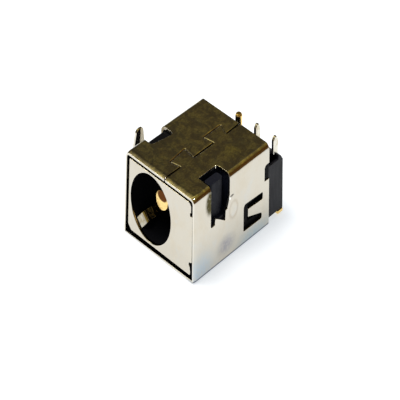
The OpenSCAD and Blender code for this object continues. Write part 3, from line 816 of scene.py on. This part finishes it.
# The front plate: right ear, fold, face, fold, left ear. Its face looks along -Y.
plate = {"ear": 1.6, "turn": 0.4, "front": plateLow.y, "rightFold": 6.14, "leftFold": -3.34,
         "hole": 3.2, "topGap": 0.12}
earRun, plateTurn = ("run", plate["ear"], 0), ("turn", 90, plate["turn"])
faceRun = ("run", plate["rightFold"] - plate["leftFold"], 0)
plateParts = [earRun, plateTurn, faceRun, plateTurn, earRun]
plateStart = (plate["rightFold"] + plate["turn"], plate["front"] + plate["turn"] + plate["ear"])
plateLine, plateFolds, plateLength = bentLine(plateStart, (0, -1), plateParts)
faceStart = plate["ear"] + plate["turn"] * math.pi / 2


def onPlate(x):
    return faceStart + plate["rightFold"] - x


def platePlace(a, b, h):
    flat = plateLine(a, h)
    return np.stack([flat[:, 0], flat[:, 1], b], 1)


plateTop, plateFloor = plateHigh.z - plate["topGap"], plateLow.z
plateOutline = [
    (onPlate(6.30), plateTop, 0.5), (onPlate(6.30), 2.48, 0.12), (onPlate(6.12), 2.40, 0.1),
    (onPlate(6.12), 2.15, 0.1), (0, 2.15, 0.15), (0, -2.25, 0.15), (onPlate(6.10), -2.25, 0.07),
    (onPlate(6.04), -2.42, 0.07), (onPlate(6.20), -2.62, 0.08), (onPlate(6.30), -3.1, 0.1),
    (onPlate(6.30), plateFloor, 0.25), (onPlate(-2.95), plateFloor, 0.1), (onPlate(-3.60), -2.86, 0.1),
    (onPlate(-3.62), -2.52, 0.07), (plateLength, -2.5, 0.15), (plateLength, 2.85, 0.15),
    (onPlate(-3.66), 2.85, 0.07), (onPlate(-3.48), plateTop, 0.1),
]
plateLoops = [softLoop(plateOutline), roundLoop(onPlate(0), 0, plate["hole"])]
plateSheet = plateForm(plateLoops, platePlace, thick, 0.06, 0.03, plateFolds)
addPiece("plateSheet", "front_plate", [(plateSheet, plateMetal)])
print("front plate folded")

# the turned pin, from its tip back to the rivet end behind the terminal
terminalY = terminalLow.y
pinTip, pinR, pinRootR = pinLow.y, 1.0, 1.3
pinProfile = [
    (0, pinTip), (pinR - 0.06, pinTip, 0.1), (pinR, pinTip + 0.15, 0.12), (pinR, 9.2), (pinRootR, 9.2),
    (pinRootR, terminalY), (0.65, terminalY), (0.65, terminalY + 0.3), (0.9, terminalY + 0.3),
    (0.9, terminalY + 0.55, 0.1), (0, terminalY + 0.55),
]
addPiece("turnedPin", "centre_pin", [(turnedForm(pinProfile, (0, 0, 0), (0, 1, 0)), contactGold)])

tailTop, tailY = terminalHigh.z, 14.3
roundTail = [(0, 1.1), (0.425, 1.1), (0.425, tailTop - 0.15, 0.08), (0.3, tailTop, 0.05), (0, tailTop)]
terminalForms = [
    barForm([(-1.35, -1.35), (1.35, -1.35), (1.35, 1.32), (-1.35, 1.32)], (0, terminalY, 0),
            (1, 0, 0), (0, 0, 1), 0.3, 0.03, holes=[roundLoop(0, 0, 0.66, 48)]),
    barForm([(0.15, terminalY), (1.35, terminalY), (1.35, 14.475), (0.15, 14.475)], (0, 0, 1.32),
            (1, 0, 0), (0, 1, 0), 0.3, 0.03),
    turnedForm(roundTail, (0.75, 14.05, 0), (0, 0, 1)),
]
addPiece("pinTerminal", "centre_terminal", [(form, contactGold) for form in terminalForms])
print("centre contact turned")

# side view of a leaf spring, (radius, depth) along its middle line, with soft bends
spring = {"thick": 0.2, "width": 1.05, "rest": 3.55, "peak": 2.45, "bendY": 1.05,
          "lip": (3.25, 0.56), "heel": 5.2}


# the outline of a line made thick, its bends rounded over the soft length on either side
def thickLine(points, half, soft):
    points = np.array(points, float)
    path = [points[0]]
    for before, here, after in zip(points, points[1:], points[2:]):
        p = here + soft * (before - here) / np.linalg.norm(before - here)
        q = here + soft * (after - here) / np.linalg.norm(after - here)
        path += [(1 - t) ** 2 * p + 2 * t * (1 - t) * here + t * t * q for t in (0, 0.25, 0.5, 0.75, 1)]
    path = np.array(path + [points[-1]])
    way = np.gradient(path, axis=0)
    way /= np.linalg.norm(way, axis=1)[:, None]
    side = np.stack([-way[:, 1], way[:, 0]], 1) * half
    return [tuple(p) for p in np.concatenate([path + side, (path - side)[::-1]])]


# a leaf on the socket's wall, at an angle from the right towards the top
def springLeaf(clock, rearY):
    a = math.radians(clock)
    rest, heel = spring["rest"], spring["heel"]
    middle = [(rest, rearY), (rest, heel), (spring["peak"], spring["bendY"]), spring["lip"]]
    outward = (math.cos(a), 0, math.sin(a))
    sideways = np.array((-math.sin(a), 0, math.cos(a)))
    outline = thickLine(middle, spring["thick"] / 2, 0.35)
    return barForm(outline, sideways * spring["width"] / 2, outward, (0, 1, 0), spring["width"], 0.03)


tail = {"half": 0.4, "thick": 0.35, "neckZ": 1.17, "taper": 0.35, "shoulder": 0.25}


# a flat tail seen along X: its wide lower part from lowZ, then the narrower tail with its tapered tip
def flatTail(x, frontY, lowZ):
    front, back = tailY - tail["half"], tailY + tail["half"]
    taperZ = tailTop - tail["taper"]
    outline = [
        (frontY, lowZ, 0.06), (back, lowZ, 0.06), (back, taperZ, 0.3),
        (back - tail["shoulder"], tailTop, 0.12), (front + tail["shoulder"], tailTop, 0.12),
        (front, taperZ, 0.3), (front, tail["neckZ"], 0.15), (frontY, tail["neckZ"], 0.06),
    ]
    return barForm(outline, (x + tail["thick"] / 2, 0, 0), (0, 1, 0), (0, 0, 1), tail["thick"], 0.07)


# the upright plate that joins a leaf to its tail
def crossPlate(x0, x1, z0, z1, y):
    corners = [(x0, z0), (x1, z0), (x1, z1), (x0, z1)]
    return barForm(corners, (0, y, 0), (1, 0, 0), (0, 0, 1), tail["thick"], 0.04)


leftForms = [
    springLeaf(230, terminalY + 0.1), crossPlate(-2.96, 3.59, -2.94, -1.61, terminalY),
    flatTail(3.425, terminalY, -2.94),
]
rightForms = [
    springLeaf(0, 12.8), crossPlate(3.46, 6.39, -0.52, 0.52, 12.7), flatTail(6.225, 12.7, -3.79),
]
# the gilt foot under the block, reaching a little past the block's side
footProfile = [(5.53, -3.80), (6.85, -3.76), (6.85, -3.47), (5.53, -3.47)]
foot = barForm(footProfile, (0, 14.25, 0), (1, 0, 0), (0, 0, 1), 0.85, 0.03)
leftPairs = [(form, contactTin) for form in leftForms]
rightPairs = [(form, contactTin) for form in rightForms] + [(foot, contactGold)]
addPiece("leftContact", "left_spring", leftPairs)
addPiece("rightContact", "right_spring", rightPairs)
print("spring contacts made")


# The housing's own mesh, merged and joined up, with its outer long edges rounded
def dressHousing(radius):
    form = bmesh.new()
    form.from_mesh(cadNodes["housing"].data)
    bmesh.ops.remove_doubles(form, verts=form.verts, dist=0.0005 * mm)
    # the rear face keeps its triangles, as the pocket leaves a hole in it
    merging = [edge for edge in form.edges if min(vert.co.y for vert in edge.verts) < 15.1 * mm]
    bmesh.ops.dissolve_limit(
        form, angle_limit=math.radians(0.5), verts=[], edges=merging, delimit={"NORMAL"}
    )
    chosen = []
    for edge in form.edges:
        if len(edge.link_faces) != 2 or not edge.is_convex:
            continue
        middle = (edge.verts[0].co + edge.verts[1].co) / 2 / mm
        outside = middle.y > 12.62 and (middle.z > 1.5 or middle.y > 15.1 or middle.z < -3.4)
        if outside and edge.calc_face_angle(0) > math.radians(17) and edge.calc_length() > 0.3 * mm:
            chosen.append(edge)
    bmesh.ops.bevel(
        form, geom=chosen, offset=radius * mm, offset_type="OFFSET", segments=3, profile=0.5,
        affect="EDGES", clamp_overlap=False, miter_outer="ARC",
    )
    mesh = bpy.data.meshes.new("housingMoulding")
    form.to_mesh(mesh)
    form.free()
    mesh.materials.clear()
    mesh.materials.append(housingPlastic)
    mesh.shade_smooth()
    mesh.set_sharp_from_angle(angle=math.radians(32))
    piece = bpy.data.objects.new("housingMoulding", mesh)
    bpy.context.scene.collection.objects.link(piece)
    weighted = piece.modifiers.new("shading", "WEIGHTED_NORMAL")
    weighted.keep_sharp = True
    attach(piece, "root")
    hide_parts("housing")


dressHousing(0.07)
print("housing dressed")

floorSettings = {
    "size": 3.0,
    "colour": (0.50, 0.50, 0.51),
    "glow": (0.95, 0.98, 1.0),
    "lift": 0.60,  # light of its own that brings the floor to white for the camera and for gloss
}


def makeFloor(s):
    half = s["size"]
    z = cadLow.z
    mesh = bpy.data.meshes.new("floor")
    corners = [(-half, -half, z), (half, -half, z), (half, half, z), (-half, half, z)]
    mesh.from_pydata(corners, [], [(0, 1, 2, 3)])
    floor = bpy.data.objects.new("floor", mesh)
    bpy.context.scene.collection.objects.link(floor)
    material, tree, shader = startMaterial("floorPaper")
    feed(tree, shader, "Base Color", s["colour"])
    feed(tree, shader, "Roughness", 0.9)
    feed(tree, shader, "Specular IOR Level", 0.1)
    path = addNode(tree, "LightPath")
    seen = calc(tree, "ADD", path.outputs["Is Camera Ray"], path.outputs["Is Glossy Ray"])
    seen = calc(tree, "ADD", seen, path.outputs["Is Transmission Ray"], clamp=True)
    feed(tree, shader, "Emission Color", s["glow"])
    feed(tree, shader, "Emission Strength", calc(tree, "MULTIPLY", seen, s["lift"]))
    mesh.materials.append(material)


worldSettings = {
    "light": (0.80, 0.90, 1.0),
    "lightStrength": 0.45,
    "horizon": (1.0, 0.98, 0.94),
    "brown": (0.095, 0.045, 0.008),
    "olive": (0.072, 0.060, 0.026),
    "glowLeft": (0.46, 0.41, 0.19),
    "glowRight": (0.24, 0.19, 0.045),
    "front": (0.80, 0.79, 0.74),
    "reddish": (1.12, 0.97, 0.85),
    "bluish": (0.88, 1.0, 1.15),
    "window": {"toward": (-0.57, -0.54, 0.62), "size": 0.15, "colour": (5.5, 5.0, 3.6)},
}


# Gloss sees a white horizon, a light panel straight in front, a small bright window and, above
# the horizon, a dark room, brown to the right and olive to the left, with a cloudy ceiling.
def makeWorld(s):
    world = bpy.data.worlds.new("room")
    bpy.context.scene.world = world
    world.use_nodes = True
    tree = world.node_tree
    tree.nodes.clear()
    direction = addNode(tree, "TexCoord").outputs["Generated"]
    split = addNode(tree, "SeparateXYZ", {0: direction})
    side, depth, height = split.outputs["X"], split.outputs["Y"], split.outputs["Z"]
    walls = blendColour(tree, rise(tree, side, -0.45, 0.15), s["olive"], s["brown"])
    ceiling = blendColour(tree, rise(tree, side, -0.45, -0.10), s["glowLeft"], s["glowRight"])
    room = blendColour(tree, rise(tree, height, 0.66, 0.80), walls, ceiling)
    cloud = rise(tree, noise(tree, direction, 16, 4, 0.7), 0.35, 0.65, 2.2, 0.3)
    room = addNode(tree, "VectorMath", {0: room, "Scale": cloud}, operation="SCALE").outputs[0]
    tint = rise(tree, noise(tree, direction, 31, 3, 0.6), 0.4, 0.6)
    room = blendColour(tree, 1.0, room, blendColour(tree, tint, s["reddish"], s["bluish"]), "MULTIPLY")
    room = blendColour(tree, rise(tree, depth, -0.92, -0.82), s["front"], room)
    window = s["window"]
    apart = addNode(tree, "VectorMath", {0: direction, 1: window["toward"]}, operation="DISTANCE")
    inWindow = rise(tree, apart.outputs["Value"], 0.7 * window["size"], window["size"], 0.0, 1.0)
    room = blendColour(tree, inWindow, room, window["colour"])
    room = blendColour(tree, rise(tree, height, 0.03, 0.13), s["horizon"], room)
    path = addNode(tree, "LightPath")
    shiny, through = path.outputs["Is Glossy Ray"], path.outputs["Is Transmission Ray"]
    glossy = calc(tree, "ADD", shiny, through, clamp=True)
    colour = blendColour(tree, glossy, s["light"], room)
    colour = blendColour(tree, path.outputs["Is Camera Ray"], colour, (1.0, 1.0, 1.0))
    own = calc(tree, "ADD", glossy, path.outputs["Is Camera Ray"], clamp=True)
    strength = addNode(
        tree, "MapRange", {"Value": own, "To Min": s["lightStrength"], "To Max": 1.0}
    ).outputs[0]
    back = addNode(tree, "Background", {"Color": colour, "Strength": strength})
    out = tree.nodes.new("ShaderNodeOutputWorld")
    tree.links.new(back.outputs[0], out.inputs[0])


lampSettings = {
    # name: (direction to the lamp, distance, size, power, colour, shows in gloss)
    "key": ((-0.35, -0.30, 1.1), 0.5, 0.32, 2.7, (1.0, 0.97, 0.92), False),
    "spark": ((0.15, 0.25, 0.95), 0.4, 0.03, 0.15, (1.0, 0.98, 0.94), True),
}


def makeLamps(settings):
    for name, (toward, distance, size, power, colour, shows) in settings.items():
        data = bpy.data.lights.new(name, "AREA")
        data.shape = "DISK"
        data.size = size
        data.energy = power
        data.color = colour
        lamp = bpy.data.objects.new(name, data)
        bpy.context.scene.collection.objects.link(lamp)
        direction = Vector(toward).normalized()
        lamp.location = boxCentre + direction * distance
        lamp.rotation_mode = "QUATERNION"
        lamp.rotation_quaternion = (-direction).to_track_quat("-Z", "Y")
        lamp.visible_camera = False
        lamp.visible_glossy = shows


makeFloor(floorSettings)
makeWorld(worldSettings)
makeLamps(lampSettings)
bpy.context.scene.view_settings.view_transform = "Standard"
print("stage lit")
